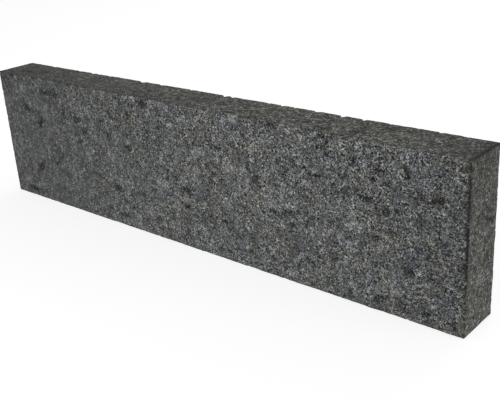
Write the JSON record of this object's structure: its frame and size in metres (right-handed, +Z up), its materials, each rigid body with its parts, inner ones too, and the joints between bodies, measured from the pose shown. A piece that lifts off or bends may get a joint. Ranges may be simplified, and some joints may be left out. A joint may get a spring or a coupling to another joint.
{
  "type": "granite kerb stone",
  "caption": "Straight kerb stone sawn from one bar of dark granite, with flat faces and nibbled arrises; it stands on its narrow bed face and butts end to end.",
  "frame": {"origin": "middle of the bed face, on the ground plane, at the bottom centre of the bounding box", "axes": "+X along the stone, +Y through its thickness from the flamed face to the back, +Z up its height"},
  "size_m": [1, 0.08, 0.25],
  "materials": {
    "granite": "flamed face, sawn top and ends, matt"
  },
  "bodies": {
    "root": {"kerb_stone": "granite"}
  },
  "joints": []
}
